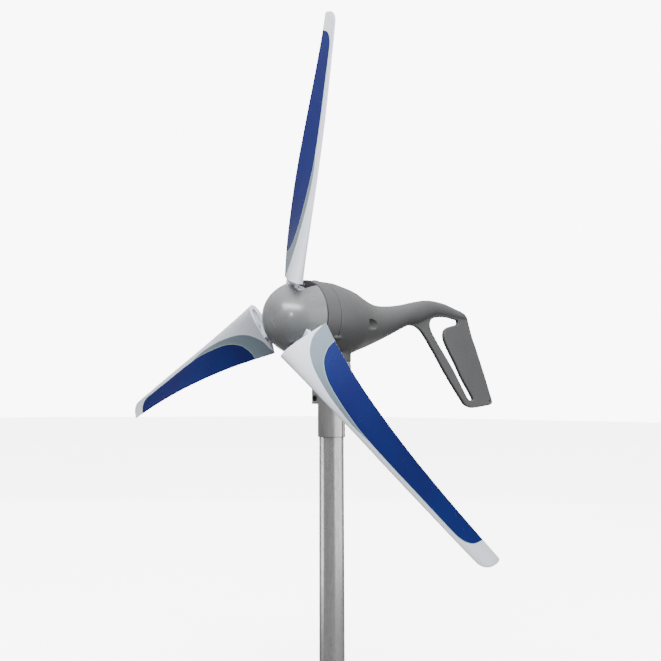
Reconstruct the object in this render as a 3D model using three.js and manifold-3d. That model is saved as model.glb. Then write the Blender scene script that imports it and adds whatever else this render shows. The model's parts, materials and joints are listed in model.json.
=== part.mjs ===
// Small three-blade wind turbine on a pipe mast, built in millimetres with +Z up.
// The row origin is the foot of the mast on the yaw axis. +Y points from the nose to the tail.
// Heights called "z" below the constants are measured from the shaft axis; lift() puts them in the row.
import * as THREE from 'three';
import { mergeVertices } from 'three/addons/utils/BufferGeometryUtils.js';
import Module from 'manifold-3d';

const wasm = await Module();
wasm.setup();

// ---- driving dimensions, mm ----
const SHAFT_HEIGHT = 700;

const ROTOR_R = 585;
const ROTOR_TURN = 18.65;
const BLADE_Y = -122.5;
const BLADE_COUNT = 3;
const BLADE_ROOT = 70;
const TANG_INNER = 25;
const TANG_T = [-24, 18];
// The tang is narrower above this corner, as across and radius.
const TANG_WAIST = [4, 58];
const TANG_Y = [-120, -110];
const BLADE_BOLT_R = 47;
const BLADE_BOLT_T = [-15, 9];
const BOLT_HOLE_R = 3.3;

const RIM_Y = -83.2;
const RIM_R = 75;
const NOSE_LENGTH = 74.1;
const NOSE_WALL = 2.6;
// Corners of a blade notch, as across and y. The other two lie behind the rim.
const NOTCH = [[-26.5, -117.5], [-23.5, -121.7], [-3, -120.8], [9, -126.8], [21.5, -128.2], [26, -123.5]];

const HUB_Y = [-109.7, -99.7];
const HUB_R = 62;
const SHAFT_R = 8.5;
const SHAFT_Y = [-136, -19];

const FACE_Y = [-79.8, -45.6];
const BODY_FRONT = -45.3;
const BODY_R = 75.5;
const WALL = 5;

const STATOR_R = 58;
const STATOR_BORE = 38.2;
const TEETH = 6;
const MAGNET_R = 37.4;
const CORE_R = 32;

const NECK_R = 39.5;
const NECK_Z = -82;
const SEAL_Z = [-85, -82.3];
const COLLAR_TOP = -85.3;
const YAW_BORE = 26.2;
const YAW_HOUSING_R = 31;
const YAW_TOP = -22;
const SPINDLE_R = 12.5;

const PIPE_R = 24.13;
const PIPE_BORE = 20.45;
const PIPE_TOP = -112.6;
const SLEEVE_R = 27;
const SLEEVE_BORE = 24.45;
const SLEEVE_Z = [-229, -112];
const EAR_AZ = 190;
const EAR_BOLT_X = 33.5;
const CLAMP_BOLT_Z = [-131, -154];

const FIN_T = 9;
const TAIL_HOLE = [535, -155];
const POCKET_X = 58.6;
const POCKET_Z = -6.7;
const POCKET_R = 11;
const POCKET_Y = [43, 98];

// ---- colours ----
const PAINT = 0x8f9395;
const NOSE_GREY = 0x9da1a4;
const STEEL = 0xb8babc;
const ZINC = 0x9a9c9e;
const BLADE = 0xe2e5ea;
const BRASS = 0xc79a4a;
const COPPER = 0xb5652e;
const DARK = 0x26282b;
const BOARD = 0x1f6b3a;

const group = new THREE.Group();
group.name = 'small_wind_turbine';

// ---- helpers ----
function solid(geometry) {
  const bare = new THREE.BufferGeometry();
  bare.setAttribute('position', geometry.getAttribute('position'));
  if (geometry.index) bare.setIndex(geometry.index);
  const merged = mergeVertices(bare, 1e-4);
  const vertProperties = new Float32Array(merged.getAttribute('position').array);
  const faces = [];
  let volume = 0;
  for (let i = 0; i < merged.index.count; i += 3) {
    const [a, b, c] = [0, 1, 2].map((k) => merged.index.getX(i + k));
    if (a === b || b === c || c === a) continue;
    const [p, q, r] = [a, b, c].map((k) => new THREE.Vector3().fromArray(vertProperties, 3 * k));
    volume += p.dot(q.cross(r));
    faces.push([a, b, c]);
  }
  if (volume < 0) faces.forEach((face) => face.reverse());
  const triVerts = new Uint32Array(faces.flat());
  const mesh = new wasm.Mesh({ numProp: 3, vertProperties, triVerts });
  return new wasm.Manifold(mesh);
}

function add(name, shape, color, metalness = 0.2, roughness = 0.5) {
  const mesh = shape.getMesh();
  const geometry = new THREE.BufferGeometry();
  const position = new THREE.BufferAttribute(new Float32Array(mesh.vertProperties), 3);
  geometry.setAttribute('position', position);
  geometry.setIndex(new THREE.BufferAttribute(new Uint32Array(mesh.triVerts), 1));
  geometry.translate(0, 0, SHAFT_HEIGHT);
  geometry.computeVertexNormals();
  const material = new THREE.MeshStandardMaterial({ color, metalness, roughness });
  const node = new THREE.Mesh(geometry, material);
  node.name = name;
  group.add(node);
}

function moved(geometry, matrix) {
  geometry.applyMatrix4(matrix);
  return geometry;
}

// Closed profile of [radius, height] turned about Z.
function turnZ(profile, segments = 32) {
  const points = profile.map(([r, z]) => new THREE.Vector2(r, z));
  points.push(points[0].clone());
  const geometry = new THREE.LatheGeometry(points, segments);
  return solid(moved(geometry, new THREE.Matrix4().makeRotationX(Math.PI / 2)));
}

// Closed profile of [radius, y] turned about Y.
function turnY(profile, segments = 36) {
  const points = profile.map(([r, y]) => new THREE.Vector2(r, y));
  points.push(points[0].clone());
  return solid(new THREE.LatheGeometry(points, segments));
}

function discY(radius, y0, y1, segments = 24) {
  return turnY([[0, y0], [radius, y0], [radius, y1], [0, y1]], segments);
}

function ringY(outer, inner, y0, y1, segments = 28) {
  return turnY([[inner, y0], [outer, y0], [outer, y1], [inner, y1]], segments);
}

function discZ(radius, z0, z1, segments = 24) {
  return turnZ([[0, z0], [radius, z0], [radius, z1], [0, z1]], segments);
}

function ringZ(outer, inner, z0, z1, segments = 28) {
  return turnZ([[inner, z0], [outer, z0], [outer, z1], [inner, z1]], segments);
}

function box(x0, x1, y0, y1, z0, z1) {
  const geometry = new THREE.BoxGeometry(x1 - x0, y1 - y0, z1 - z0);
  const centre = [(x0 + x1) / 2, (y0 + y1) / 2, (z0 + z1) / 2];
  return solid(moved(geometry, new THREE.Matrix4().makeTranslation(...centre)));
}

// Solid skin through closed loops of equal length, capped with centre fans.
function loft(loops) {
  const count = loops[0].length;
  const position = loops.flat(2);
  const index = [];
  for (let i = 0; i < loops.length - 1; i += 1) {
    for (let j = 0; j < count; j += 1) {
      const k = (j + 1) % count;
      const a = i * count + j;
      const b = i * count + k;
      index.push(a, b, b + count, a, b + count, a + count);
    }
  }
  const ends = [loops[0], loops[loops.length - 1]];
  ends.forEach((loop, end) => {
    const centre = [0, 1, 2].map((axis) => loop.reduce((sum, p) => sum + p[axis], 0) / count);
    const tip = position.length / 3;
    position.push(...centre);
    const base = end === 0 ? 0 : (loops.length - 1) * count;
    for (let j = 0; j < count; j += 1) {
      const k = (j + 1) % count;
      if (end === 0) index.push(tip, base + k, base + j);
      else index.push(tip, base + j, base + k);
    }
  });
  const geometry = new THREE.BufferGeometry();
  geometry.setAttribute('position', new THREE.Float32BufferAttribute(position, 3));
  geometry.setIndex(index);
  return solid(geometry);
}

// Smooth value at x through stations sorted by their first column.
function smooth(stations, column, x) {
  const last = stations.length - 1;
  let i = 0;
  while (i < last - 1 && x > stations[i + 1][0]) i += 1;
  const before = stations[Math.max(i - 1, 0)];
  const after = stations[Math.min(i + 2, last)];
  const [p, q] = [stations[i], stations[i + 1]];
  const span = q[0] - p[0];
  const slopeP = (q[column] - before[column]) / (q[0] - before[0]);
  const slopeQ = (after[column] - p[column]) / (after[0] - p[0]);
  const s = Math.min(Math.max((x - p[0]) / span, 0), 1);
  const h00 = 2 * s ** 3 - 3 * s ** 2 + 1;
  const h10 = s ** 3 - 2 * s ** 2 + s;
  const h01 = 3 * s ** 2 - 2 * s ** 3;
  const h11 = s ** 3 - s ** 2;
  return h00 * p[column] + h10 * span * slopeP + h01 * q[column] + h11 * span * slopeQ;
}

function spinY(shape, degrees) {
  return shape.rotate([0, degrees, 0]);
}

function spinZ(shape, degrees) {
  return shape.rotate([0, 0, degrees]);
}

// Prism through an outline of [y, z] points, centred on the plane X = 0.
function plateX(outline, thickness) {
  const shape = new THREE.Shape(outline.map(([y, z]) => new THREE.Vector2(y, z)));
  const options = { depth: thickness, bevelEnabled: false };
  const geometry = new THREE.ExtrudeGeometry(shape, options);
  geometry.translate(0, 0, -thickness / 2);
  const axes = [new THREE.Vector3(0, 1, 0), new THREE.Vector3(0, 0, 1), new THREE.Vector3(1, 0, 0)];
  return solid(moved(geometry, new THREE.Matrix4().makeBasis(...axes)));
}

// Prism through an outline of [x, y] points between two heights.
function prismZ(outline, z0, z1) {
  const shape = new THREE.Shape(outline.map(([x, y]) => new THREE.Vector2(x, y)));
  const geometry = new THREE.ExtrudeGeometry(shape, { depth: z1 - z0, bevelEnabled: false });
  return solid(moved(geometry, new THREE.Matrix4().makeTranslation(0, 0, z0)));
}

function ellipsoid(centre, radii, segments = 14) {
  const geometry = new THREE.SphereGeometry(1, segments, 8);
  geometry.scale(...radii);
  return solid(moved(geometry, new THREE.Matrix4().makeTranslation(...centre)));
}

function hexY(radius, y0, y1) {
  return discY(radius, y0, y1, 6);
}

// Cylinder along X between two values of x.
function discX(radius, x0, x1, y, z, segments = 16) {
  const geometry = new THREE.CylinderGeometry(radius, radius, x1 - x0, segments);
  geometry.rotateZ(Math.PI / 2);
  return solid(moved(geometry, new THREE.Matrix4().makeTranslation((x0 + x1) / 2, y, z)));
}

// Socket-head screw along Y with its head towards the nose.
function screwY(x, z, headY, headR, headLength, shankR, shankEnd) {
  const shoulder = headY + headLength;
  const profile = [[0, headY], [headR, headY], [headR, shoulder], [shankR, shoulder]];
  profile.push([shankR, shankEnd], [0, shankEnd]);
  const socket = hexY(headR * 0.5, headY - 1, headY + headLength * 0.55);
  return turnY(profile, 12).subtract(socket).translate([x, 0, z]);
}

// ---- blades ----
// Each row is radius, leading edge (across, upwind), trailing edge (across, upwind).
const BLADE_STATIONS = [
  [70, 41.5, 23, -54, -23.5],
  [130, 31.5, 15.5, -55, -12],
  [200, 19.5, 8.8, -56.5, -3.5],
  [280, 5, 3.2, -60, 1],
  [370, -11.5, -0.9, -65.3, 0.8],
  [456, -28.7, -3.5, -72.6, -2.5],
  [540, -46.2, -5.5, -82.2, -6.5],
  [585, -56.2, -6.7, -88.4, -8],
];
// Each row is radius and thickness over chord.
const BLADE_THICKNESS = [[70, 0.25], [130, 0.2], [230, 0.15], [400, 0.12], [585, 0.11]];
const BLADE_CUTS = [70, 86, 108, 136, 168, 205, 245, 290, 340, 395, 455, 515, 565, 574, 580, 583.5, 585];
const SECTION = 10;
const TIP_NOSE = 20;
const TIP_HEEL = 5;

function cornerLoss(radius, size) {
  const reach = Math.max(radius - (ROTOR_R - size), 0) / size;
  return size * (1 - Math.sqrt(Math.max(1 - reach * reach, 0)));
}

function bladeSection(radius) {
  const at = (column) => smooth(BLADE_STATIONS, column, radius);
  const chordT = at(3) - at(1);
  const chordH = at(4) - at(2);
  const chord = Math.hypot(chordT, chordH);
  const along = [chordT / chord, chordH / chord];
  const back = [-along[1], along[0]];
  const thick = smooth(BLADE_THICKNESS, 1, radius) * chord;
  const nose = cornerLoss(radius, TIP_NOSE);
  const heel = cornerLoss(radius, TIP_HEEL);
  const used = chord - nose - heel;
  const shrink = used / chord;
  const points = [];
  for (let side = 0; side < 2; side += 1) {
    for (let i = 0; i < SECTION; i += 1) {
      const turn = side === 0 ? i / SECTION : 1 - i / SECTION;
      const u = 0.5 - 0.5 * Math.cos(Math.PI * turn);
      const round = 1.4845 * Math.sqrt(u) - 0.63 * u - 1.758 * u * u + 1.4215 * u ** 3 - 0.508 * u ** 4;
      const half = Math.max(round * thick * shrink, 0) + 0.35 * u;
      const bow = 0.03 * chord * 4 * u * (1 - u);
      const off = (side === 0 ? half : -half) + bow;
      const run = nose + u * used;
      const t = at(1) + along[0] * run + back[0] * off;
      const h = at(2) + along[1] * run + back[1] * off;
      points.push([t, BLADE_Y - h, radius]);
    }
  }
  return points;
}

function buildBlade() {
  const skin = loft(BLADE_CUTS.map(bladeSection));
  const waist = box(TANG_WAIST[0], TANG_T[1] + 1, -121, -109, TANG_WAIST[1], BLADE_ROOT + 9);
  const tang = box(...TANG_T, ...TANG_Y, TANG_INNER, BLADE_ROOT + 8).subtract(waist);
  const scoop = ellipsoid([0, 0, 0], [38, 8, 7]).rotate([0, 0, -26]);
  let shape = skin.subtract(scoop.translate([0, BLADE_Y - 3, BLADE_ROOT])).add(tang);
  BLADE_BOLT_T.forEach((t) => {
    const hole = discY(BOLT_HOLE_R, TANG_Y[0] - 2, TANG_Y[1] + 2, 12);
    shape = shape.subtract(hole.translate([t, 0, BLADE_BOLT_R]));
  });
  return shape;
}

// ---- nose cone, hub and their fasteners ----
function noseRadius(y, inset) {
  const s = Math.min(Math.max((RIM_Y - y) / (NOSE_LENGTH - inset), 0), 1);
  return (RIM_R - inset) * Math.max(1 - s ** 1.35, 0) ** (1 / 2.8);
}

function buildNoseCone() {
  const steps = 10;
  const outer = [];
  const inner = [];
  for (let i = 0; i <= steps; i += 1) {
    const s = 1 - (1 - i / steps) ** 2.2;
    const y = RIM_Y - NOSE_LENGTH * s;
    const yInner = RIM_Y - (NOSE_LENGTH - NOSE_WALL) * s;
    outer.push([noseRadius(y, 0), y]);
    inner.push([noseRadius(yInner, NOSE_WALL), yInner]);
  }
  outer[steps][0] = 0;
  inner[steps][0] = 0;
  const shell = turnY([...inner.slice().reverse(), ...outer], 40);
  const lip = ringY(70, 60, -98.4, -95.4, 40);
  let shape = shell.add(lip);
  const first = NOTCH[0][0];
  const last = NOTCH[NOTCH.length - 1][0];
  const cut = prismZ([[first, RIM_Y + 5], ...NOTCH, [last, RIM_Y + 5]], 30, 100);
  for (let k = 0; k < BLADE_COUNT; k += 1) {
    shape = shape.subtract(spinY(cut, ROTOR_TURN + 120 * k));
  }
  return shape;
}

function buildHub() {
  let shape = discY(HUB_R, ...HUB_Y, 40).subtract(discY(SHAFT_R + 0.3, HUB_Y[0] - 1, HUB_Y[1] + 1, 24));
  for (let k = 0; k < BLADE_COUNT; k += 1) {
    const window = discY(13, HUB_Y[0] - 1, HUB_Y[1] + 1, 16).translate([0, 0, -34]);
    shape = shape.subtract(spinY(window, ROTOR_TURN + 120 * k));
    BLADE_BOLT_T.forEach((t) => {
      const hole = discY(BOLT_HOLE_R, HUB_Y[0] - 1, HUB_Y[1] + 1, 12);
      shape = shape.subtract(spinY(hole.translate([t, 0, BLADE_BOLT_R]), ROTOR_TURN + 120 * k));
    });
  }
  return shape;
}

function addRotor() {
  add('nose_cone', buildNoseCone(), NOSE_GREY, 0.1, 0.35);
  add('hub_plate', buildHub(), STEEL, 0.8, 0.4);
  const blade = buildBlade();
  for (let k = 0; k < BLADE_COUNT; k += 1) {
    const angle = ROTOR_TURN + 120 * k;
    add(`blade_${k + 1}`, spinY(blade, angle), BLADE, 0.1, 0.4);
    BLADE_BOLT_T.forEach((t, side) => {
      const name = `${k + 1}${'ab'[side]}`;
      const bolt = screwY(t, BLADE_BOLT_R, -125.4, 5, 5.1, 3, -93.5);
      add(`blade_bolt_${name}`, spinY(bolt, angle), STEEL, 0.9, 0.3);
      const nut = hexY(5.8, -99.4, -94.6).subtract(discY(3.25, -101, -93, 12));
      add(`blade_nut_${name}`, spinY(nut.translate([t, 0, BLADE_BOLT_R]), angle), STEEL, 0.9, 0.3);
    });
  }
  const washer = ringY(14, 6.4, -111.6, -110, 24);
  add('hub_washer', washer, STEEL, 0.9, 0.3);
  add('hub_nut', hexY(11, -122, -111.9).subtract(discY(6.4, -123, -111, 24)), STEEL, 0.9, 0.3);
  const shaft = [[0, SHAFT_Y[0]], [6, SHAFT_Y[0]], [6, -109.9], [SHAFT_R, -109.9], [SHAFT_R, -99.4]];
  shaft.push([12, -99.4], [12, -82], [SHAFT_R, -82], [SHAFT_R, -36], [6, -36], [6, SHAFT_Y[1]]);
  add('rotor_shaft', turnY([...shaft, [0, SHAFT_Y[1]]], 24), STEEL, 0.9, 0.3);
  add('rotor_core', ringY(CORE_R, SHAFT_R + 0.3, -64, -40, 32), ZINC, 0.8, 0.5);
  let magnets = ringY(MAGNET_R, CORE_R + 0.3, -64, -40, 36);
  for (let k = 0; k < TEETH; k += 1) {
    const groove = box(-1.5, 1.5, -66, -38, MAGNET_R - 3, MAGNET_R + 3);
    magnets = magnets.subtract(spinY(groove, 60 * k));
  }
  add('magnet_ring', magnets, DARK, 0.3, 0.5);
}

// ---- nacelle ----
const SCREW_ANGLES = [2, 122, 242];
const SCREW_RADIUS = 65;

// Each row is y, height of the middle, half height, half width.
const POD = [
  [-45.3, 0, 75.5, 75.5],
  [-20, 0.5, 75.5, 75.5],
  [2, 0, 73, 73.5],
  [35, 0, 67, 67],
  [60, 0, 58.5, 58],
  [93, 0.5, 48, 46],
  [126, 4, 39.5, 35],
  [171, 14, 32, 25.5],
  [214, 26.5, 26.5, 20],
  [239, 34, 25, 17.5],
  [270, 41, 25, 15],
  [300, 49, 22, 12.5],
  [330, 54.5, 17.5, 10.5],
  [369, 54, 15, 9],
  [410, 48.5, 12.5, 8],
  [440, 45, 9, 7],
  [452, 42, 4, 5],
];
const POD_CUTS = [-45.3, -20, 0, 18, 34, 48, 62, 76, 90, 106, 124, 146, 172, 202, 236, 270, 305];
POD_CUTS.push(342, 380, 415, 438, 452);

const FIN_OUTLINE = [
  [225, 14], [239, 9.5], [254, 9], [265, 7], [280, 0], [295, -13], [325, -45], [363, -89], [402, -130],
  [426, -154], [433, -161], [442, -166], [455, -169.5], [468, -171], [494, -168.5], [525, -165],
  [540, -162.5], [545, -159], [546, -153], [537, -134], [528, -114], [504, -65], [487, -31], [471, -2],
  [463, 18], [458, 31], [454, 42], [448, 48], [440, 52.5], [410, 59], [369, 67], [329, 70.5], [297, 69.5],
  [270, 64], [225, 40],
];
const FIN_SLOT = [
  [311.5, 18], [316, 27], [327, 32], [340, 34.5], [355, 36.3], [380, 37], [413, 34], [417, 31], [417.5, 27],
  [414, 23.5], [396, 19], [382, 15.5], [371, 10], [365, 3], [363, -6], [365, -15], [371, -26], [385, -45],
  [405, -70], [428, -102], [453, -130], [469, -149], [467, -152.5], [458, -152.5], [450, -150.5],
  [445, -146], [423, -119], [404, -95], [384, -72], [345, -32], [329, -14], [318, -1], [312.5, 9],
];

function podLoops(inset, cuts) {
  const sides = 28;
  return cuts.map((y) => {
    const [middle, high, wide] = [1, 2, 3].map((column) => smooth(POD, column, y));
    return Array.from({ length: sides }, (_, i) => {
      const turn = (2 * Math.PI * i) / sides;
      return [(wide - inset) * Math.cos(turn), y, middle + (high - inset) * Math.sin(turn)];
    });
  });
}

function screwBoss(y0, y1, angle) {
  return spinY(discY(6.2, y0, y1, 14).translate([0, 0, SCREW_RADIUS]), angle);
}

function seamBlister(angle, y0, y1) {
  const bump = ellipsoid([0, BODY_FRONT, BODY_R - 1], [4.8, 13, 4]);
  return spinY(bump.intersect(box(-20, 20, y0, y1, 50, 90)), angle);
}

function buildCasting() {
  const pod = loft(podLoops(0, POD_CUTS));
  const fin = plateX(FIN_OUTLINE, FIN_T);
  const neck = turnZ([[0, NECK_Z], [NECK_R, NECK_Z], [NECK_R, -66], [43.5, -56], [30, -30], [0, -30]], 32);
  let shape = pod.add(fin).add(neck);
  const front = discY(BODY_R - WALL, BODY_FRONT - 1, -32, 32);
  const rear = turnY([[0, -22], [70, -22], [68, 2], [61.5, 35], [52.5, 58], [40, 78], [0, 84]], 28);
  const boom = loft(podLoops(5.5, [70, 94, 124, 162, 208, 236]));
  shape = shape.subtract(front).subtract(rear).subtract(boom);
  const tube = discZ(YAW_HOUSING_R, NECK_Z, YAW_TOP, 24);
  const boss = discY(22, -33, -20.5, 24);
  const skin = loft(podLoops(1, POD_CUTS));
  shape = shape.add(tube.intersect(skin.add(neck))).add(boss);
  SCREW_ANGLES.forEach((angle) => {
    shape = shape.add(screwBoss(BODY_FRONT, -31, angle));
    shape = shape.add(seamBlister(angle, BODY_FRONT, BODY_FRONT + 20));
  });
  shape = shape.subtract(discZ(YAW_BORE, NECK_Z - 1, YAW_TOP + 1, 32));
  shape = shape.subtract(discY(16.2, -34, -22, 28)).subtract(discY(13, -23, -19, 16));
  [0, 90, 270].forEach((angle) => {
    const window = discY(11, -33, -20, 16).translate([0, 0, 45]);
    shape = shape.subtract(spinY(window, angle));
  });
  SCREW_ANGLES.forEach((angle) => {
    const hole = discY(2.8, BODY_FRONT - 1, -33, 12).translate([0, 0, SCREW_RADIUS]);
    shape = shape.subtract(spinY(hole, angle));
  });
  shape = shape.subtract(plateX(FIN_SLOT, 60));
  shape = shape.subtract(discX(2.6, -20, 20, ...TAIL_HOLE, 16));
  [-1, 1].forEach((side) => {
    const at = [side * POCKET_X, 0, POCKET_Z];
    const wall = discY(POCKET_R + 4, POCKET_Y[0] - 5, POCKET_Y[1] - 6, 20).translate(at);
    shape = shape.add(wall.intersect(skin)).subtract(discY(POCKET_R, ...POCKET_Y, 20).translate(at));
  });
  return shape;
}

function buildFace() {
  const outer = [[0, FACE_Y[0]], [74.2, FACE_Y[0]], [75, FACE_Y[0] + 1.2], [BODY_R, FACE_Y[1] - 1.2]];
  outer.push([BODY_R - 1.5, FACE_Y[1] - 1.2], [BODY_R - 1.5, FACE_Y[1]], [0, FACE_Y[1]]);
  let shape = turnY(outer, 36).subtract(discY(BODY_R - WALL, -75.5, FACE_Y[1] + 1, 32));
  shape = shape.add(discY(26, -78, -66, 24));
  SCREW_ANGLES.forEach((angle) => {
    shape = shape.add(screwBoss(-78, FACE_Y[1], angle)).add(seamBlister(angle, -70, FACE_Y[1]));
  });
  shape = shape.subtract(discY(20.3, FACE_Y[0] - 1, -67.2, 28)).subtract(discY(15, -70, -65, 20));
  SCREW_ANGLES.forEach((angle) => {
    const hole = discY(2.8, FACE_Y[0] - 1, FACE_Y[1] + 1, 12);
    const seat = discY(4.7, FACE_Y[0] - 1, -75, 12);
    shape = shape.subtract(spinY(hole.add(seat).translate([0, 0, SCREW_RADIUS]), angle));
  });
  return shape;
}

function buildStator() {
  let shape = ringY(STATOR_R, 50, -64, -40, 36);
  for (let k = 0; k < TEETH; k += 1) {
    const tooth = box(-5, 5, -64, -40, STATOR_BORE + 3, 52);
    const shoe = box(-13, 13, -64, -40, STATOR_BORE - 4, STATOR_BORE + 5);
    shape = shape.add(spinY(tooth.add(shoe), 60 * k + 30));
  }
  return shape.subtract(discY(STATOR_BORE, -66, -38, 30));
}

function addGenerator() {
  add('stator_core', buildStator(), ZINC, 0.7, 0.6);
  for (let k = 0; k < TEETH; k += 1) {
    const outside = box(-9.5, 9.5, -68.6, -35.4, 43.6, 48.4);
    const inside = box(-5.3, 5.3, -64.4, -39.6, 42, 51);
    add(`stator_coil_${k + 1}`, spinY(outside.subtract(inside), 60 * k + 30), COPPER, 0.7, 0.4);
  }
  add('front_bearing', ringY(19.9, SHAFT_R + 0.15, -79, -67.5, 28), STEEL, 0.9, 0.3);
  add('rear_bearing', ringY(15.9, 6.15, -32, -22.3, 28), STEEL, 0.9, 0.3);
  SCREW_ANGLES.forEach((angle, k) => {
    const screw = screwY(0, SCREW_RADIUS, -79.5, 4.3, 4.2, 2.5, -34);
    add(`face_screw_${k + 1}`, spinY(screw, angle), STEEL, 0.9, 0.3);
  });
}

function addElectronics() {
  const heights = [-11, -1, 9];
  let block = box(-9, 9, 26.5, 37, -16, 15);
  heights.forEach((z) => {
    block = block.subtract(box(-2.3, 2.3, 25, 34.3, z - 0.3, z + 4.3));
  });
  add('brush_block', block, DARK, 0, 0.6);
  heights.forEach((z, k) => {
    add(`brush_${k + 1}`, box(-2, 2, 18, 34, z, z + 4), DARK, 0.2, 0.7);
  });
  add('circuit_board', box(-36, 36, 42, 43.6, -30, 30), BOARD, 0, 0.6);
  add('rectifier', box(-14, 14, 43.9, 51, -12, 12), DARK, 0, 0.5);
  add('yaw_bearing_lower', ringZ(25.9, SPINDLE_R + 0.15, -77, -62, 32), STEEL, 0.9, 0.3);
  add('yaw_bearing_upper', ringZ(25.9, SPINDLE_R + 0.15, -38, -23, 32), STEEL, 0.9, 0.3);
}

function addNacelle() {
  add('nacelle_casting', buildCasting(), PAINT, 0.3, 0.55);
  add('face_casting', buildFace(), PAINT, 0.3, 0.5);
  addGenerator();
  addElectronics();
}

// ---- mast and yaw mount ----
function buildYoke() {
  const collar = [[0, COLLAR_TOP], [38, COLLAR_TOP], [NECK_R, COLLAR_TOP - 1.5], [NECK_R, -99], [37, -103]];
  collar.push([SLEEVE_R + 1, -112], [SLEEVE_R, -117], [SLEEVE_R, SLEEVE_Z[0]], [0, SLEEVE_Z[0]]);
  let shape = turnZ(collar, 32).add(box(20, 41, -11, 11, -165, -120));
  shape = shape.subtract(discZ(SLEEVE_BORE, SLEEVE_Z[0] - 1, SLEEVE_Z[1], 32));
  shape = shape.subtract(discZ(SPINDLE_R + 0.3, -120, -80, 28));
  shape = shape.subtract(box(15, 50, -1.5, 1.5, SLEEVE_Z[0] - 1, -119));
  shape = shape.subtract(box(-30, -20, -1, 1, SLEEVE_Z[0] - 1, -119));
  CLAMP_BOLT_Z.forEach((z) => {
    const hole = discY(3.3, -20, 20, 12).add(discY(5.6, 5, 20, 16)).add(hexY(5.8, -20, -7.3));
    shape = shape.subtract(hole.translate([EAR_BOLT_X, 0, z]));
  });
  return spinZ(shape, EAR_AZ);
}

function addMast() {
  add('mast_pole', ringZ(PIPE_R, PIPE_BORE, -SHAFT_HEIGHT, PIPE_TOP, 32), ZINC, 0.8, 0.45);
  add('clamp_yoke', buildYoke(), PAINT, 0.3, 0.5);
  CLAMP_BOLT_Z.forEach((z, k) => {
    const bolt = spinZ(screwY(0, 0, -9.5, 5, 4.2, 3, 12.8), 180).translate([EAR_BOLT_X, 0, z]);
    add(`clamp_bolt_${k + 1}`, spinZ(bolt, EAR_AZ), STEEL, 0.9, 0.3);
    const nut = hexY(5.3, -12, -7.6).subtract(discY(3.25, -13, -7, 12)).translate([EAR_BOLT_X, 0, z]);
    add(`clamp_nut_${k + 1}`, spinZ(nut, EAR_AZ), STEEL, 0.9, 0.3);
  });
  add('yaw_seal', ringZ(38.6, SPINDLE_R + 0.3, ...SEAL_Z, 32), DARK, 0, 0.6);
  add('yaw_spindle', ringZ(SPINDLE_R, 8, -111.7, 18, 28), STEEL, 0.9, 0.35);
  add('retaining_ring', ringZ(17, SPINDLE_R + 0.2, -22.6, -20.8, 20), STEEL, 0.9, 0.35);
  add('ring_insulator', ringZ(14.4, SPINDLE_R + 0.2, -16, 16, 20), DARK, 0, 0.6);
  [-11.5, -1.5, 8.5].forEach((z, k) => {
    add(`slip_ring_${k + 1}`, ringZ(17.5, 14.7, z, z + 5, 20), BRASS, 0.9, 0.3);
  });
}

addRotor();
addNacelle();
addMast();

export default group;
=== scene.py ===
import json
import math

import bmesh
import bpy
import numpy as np
from mathutils import Matrix, Vector

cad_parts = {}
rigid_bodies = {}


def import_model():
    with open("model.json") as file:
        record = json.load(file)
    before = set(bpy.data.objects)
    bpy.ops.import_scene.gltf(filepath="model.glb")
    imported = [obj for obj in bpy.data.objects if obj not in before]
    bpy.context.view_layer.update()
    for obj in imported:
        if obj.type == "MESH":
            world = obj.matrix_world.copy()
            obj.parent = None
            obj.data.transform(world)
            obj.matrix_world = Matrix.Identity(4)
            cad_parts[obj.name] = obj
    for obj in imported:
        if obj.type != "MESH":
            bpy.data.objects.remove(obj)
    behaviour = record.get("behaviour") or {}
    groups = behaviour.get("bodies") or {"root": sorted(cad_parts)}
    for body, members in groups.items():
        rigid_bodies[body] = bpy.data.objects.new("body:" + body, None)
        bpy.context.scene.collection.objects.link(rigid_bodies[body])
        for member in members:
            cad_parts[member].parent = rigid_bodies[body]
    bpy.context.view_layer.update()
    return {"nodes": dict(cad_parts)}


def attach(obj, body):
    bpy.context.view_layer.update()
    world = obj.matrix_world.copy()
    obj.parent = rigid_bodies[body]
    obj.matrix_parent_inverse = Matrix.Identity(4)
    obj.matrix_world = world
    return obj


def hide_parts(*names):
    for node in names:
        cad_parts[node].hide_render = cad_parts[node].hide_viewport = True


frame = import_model()

# Lengths below are millimetres from the shaft axis; finished pieces are moved into the row frame.
SHAFT_HEIGHT = 700.0

ROTOR_R = 585.0
ROTOR_TURN = 18.65
BLADE_Y = -122.5
BLADE_ROOT = 70
TANG_INNER = 25
TANG_T = (-24, 18)
TANG_Y = (-120, -110)
# The tang is narrower above this corner, as across and radius.
TANG_WAIST = (4, 58)
TIP_NOSE = 20.0
TIP_HEEL = 5.0
BLADE_BOLT_R = 47.0
BLADE_BOLT_T = (-15.0, 9.0)
HUB_Y = (-109.7, -99.7)
HUB_R = 62
RIM_Y = -83.2
RIM_R = 75.0
NOSE_LENGTH = 74.1
NOSE_WALL = 2.6
# Corners of a blade notch, as across and y. The other two lie behind the rim.
NOTCH = ((-26.5, -117.5), (-23.5, -121.7), (-3, -120.8), (9, -126.8), (21.5, -128.2), (26, -123.5))

FACE_Y = (-79.8, -45.6)
BODY_FRONT = -45.3
BODY_R = 75.5
WALL = 5.0
SCREW_ANGLES = (2, 122, 242)
SCREW_RADIUS = 65.0
NECK_R = 39.5
NECK_Z = -82
NECK = ((0, NECK_Z), (NECK_R, NECK_Z), (NECK_R, -66), (43.5, -56), (30, -30), (0, -30))
TAIL_HOLE = (535, -155)
POCKET_X = 58.6
POCKET_Z = -6.7
POCKET_R = 11.0

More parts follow.
